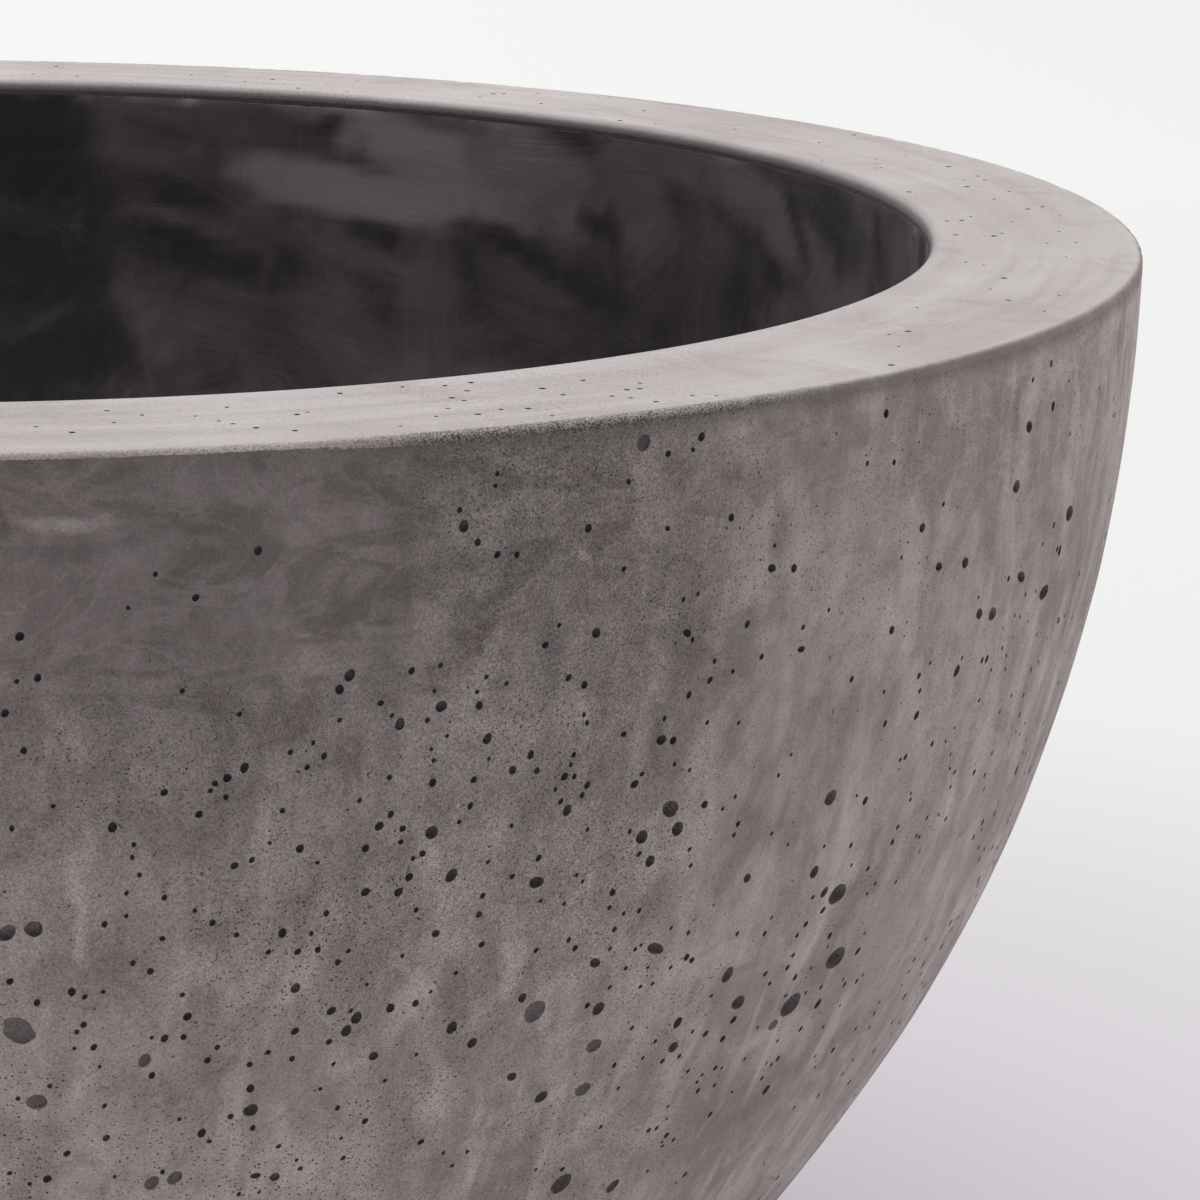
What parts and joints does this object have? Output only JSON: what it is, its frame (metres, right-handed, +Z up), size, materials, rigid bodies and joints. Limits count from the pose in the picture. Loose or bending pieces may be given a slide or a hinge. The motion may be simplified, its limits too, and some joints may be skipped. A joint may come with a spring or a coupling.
{
  "type": "concrete bowl planter",
  "caption": "Thick-walled round concrete bowl planter with a flat rim, a dark waterproof inside, a drain hole with a lift-out rubber stopper, cast-in steel and glued feet.",
  "frame": {"origin": "on the floor, under the middle of the bowl", "axes": "+Z up along the bowl's axis, +X and +Y level"},
  "size_m": [0.6018, 0.6018, 0.32],
  "materials": {
    "concrete": "matte",
    "waterproof_coat": "satin",
    "stopper_rubber": "matte",
    "pad_rubber": "matte",
    "steel_bar": "matte"
  },
  "bodies": {
    "bowl": {"bowl_shell": "concrete", "inner_coat": "waterproof_coat", "rim_hoop": "steel_bar", "waist_hoop": "steel_bar", "base_hoop": "steel_bar", "rib_1": "steel_bar", "rib_2": "steel_bar", "rib_3": "steel_bar", "rib_4": "steel_bar", "rib_5": "steel_bar", "rib_6": "steel_bar", "rib_7": "steel_bar", "rib_8": "steel_bar", "base_bar_1": "steel_bar", "base_bar_2": "steel_bar", "base_bar_3": "steel_bar", "base_bar_4": "steel_bar", "foot_pad_1": "pad_rubber", "foot_pad_2": "pad_rubber", "foot_pad_3": "pad_rubber", "foot_pad_4": "pad_rubber"},
    "stopper": {"drain_stopper": "stopper_rubber"}
  },
  "joints": [
    {"name": "drain_stopper_lift", "type": "slide", "parent": "bowl", "child": "stopper", "axis": [0, 0, 1], "range_m": [0, 0.32]}
  ]
}
